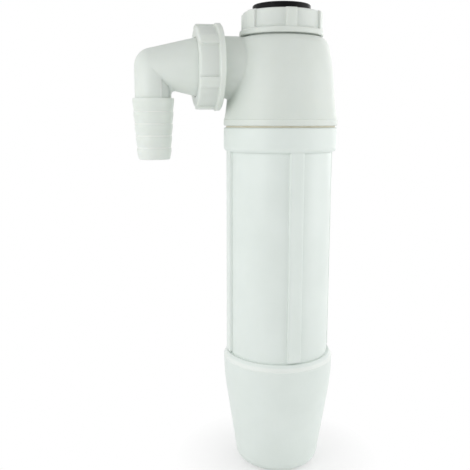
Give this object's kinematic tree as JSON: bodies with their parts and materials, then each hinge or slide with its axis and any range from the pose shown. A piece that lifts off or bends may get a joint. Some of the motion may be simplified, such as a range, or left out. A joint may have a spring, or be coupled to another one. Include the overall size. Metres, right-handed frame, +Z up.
{
  "type": "drain trap",
  "caption": "Tall bottle trap for a waste pipe, with a ribbed coupling nut on top, a swivelling side elbow with a hose nozzle, and a long tube closed by a screw-off cup.",
  "frame": {"origin": "centre of the inlet seal's mouth, on the tube axis", "axes": "+Z up along the tube axis, out of the inlet; the side branch points along -X"},
  "size_m": [0.1203, 0.0674, 0.2785],
  "materials": {
    "white_plastic": "satin",
    "black_rubber": "matte",
    "amber_rubber": "matte"
  },
  "bodies": {
    "head": {"trap_head": "white_plastic", "dip_tube": "white_plastic"},
    "inlet_seal": {"inlet_seal": "black_rubber"},
    "inlet_nut": {"inlet_nut": "white_plastic"},
    "outlet_washer": {"outlet_washer": "black_rubber"},
    "outlet_nut": {"outlet_nut": "white_plastic"},
    "outlet_elbow": {"outlet_elbow": "white_plastic"},
    "bottle_washer": {"bottle_washer": "amber_rubber"},
    "bottle_tube": {"bottle_tube": "white_plastic"},
    "cup_seal": {"cup_seal": "black_rubber"},
    "cup": {"cup": "white_plastic"}
  },
  "joints": [
    {"name": "inlet_travel", "type": "slide", "parent": "head", "child": "inlet_seal", "axis": [0, 0, 1], "range_m": [0, 0.00868]},
    {"name": "inlet_nut_turn", "type": "hinge", "parent": "inlet_seal", "child": "inlet_nut", "pos_m": [0, 0, -0.01035], "axis": [0, 0, 1], "range_deg": [0, 1350]},
    {"name": "outlet_travel", "type": "slide", "parent": "head", "child": "outlet_washer", "axis": [-1, 0, 0], "range_m": [0, 0.00579]},
    {"name": "outlet_nut_turn", "type": "hinge", "parent": "outlet_washer", "child": "outlet_nut", "pos_m": [-0.04365, 0, -0.035], "axis": [-1, 0, 0], "range_deg": [0, 900]},
    {"name": "elbow_swivel", "type": "hinge", "parent": "outlet_washer", "child": "outlet_elbow", "pos_m": [-0.04725, 0, -0.035], "axis": [-1, 0, 0], "continuous": true},
    {"name": "bottle_travel", "type": "slide", "parent": "head", "child": "bottle_washer", "axis": [0, 0, -1], "range_m": [0, 0.01102]},
    {"name": "bottle_turn", "type": "hinge", "parent": "bottle_washer", "child": "bottle_tube", "pos_m": [0, 0, -0.07495], "axis": [0, 0, -1], "range_deg": [0, 990]},
    {"name": "cup_travel", "type": "slide", "parent": "bottle_tube", "child": "cup_seal", "axis": [0, 0, -1], "range_m": [0, 0.01402]},
    {"name": "cup_turn", "type": "hinge", "parent": "cup_seal", "child": "cup", "pos_m": [0, 0, -0.2128], "axis": [0, 0, -1], "range_deg": [0, 1260]}
  ],
  "couplings": [
    {"joint": "inlet_travel", "follows": "inlet_nut_turn", "m_per_rad": 0.00036751},
    {"joint": "outlet_travel", "follows": "outlet_nut_turn", "m_per_rad": 0.00036751},
    {"joint": "bottle_travel", "follows": "bottle_turn", "m_per_rad": 0.00063662},
    {"joint": "cup_travel", "follows": "cup_turn", "m_per_rad": 0.00063662}
  ]
}
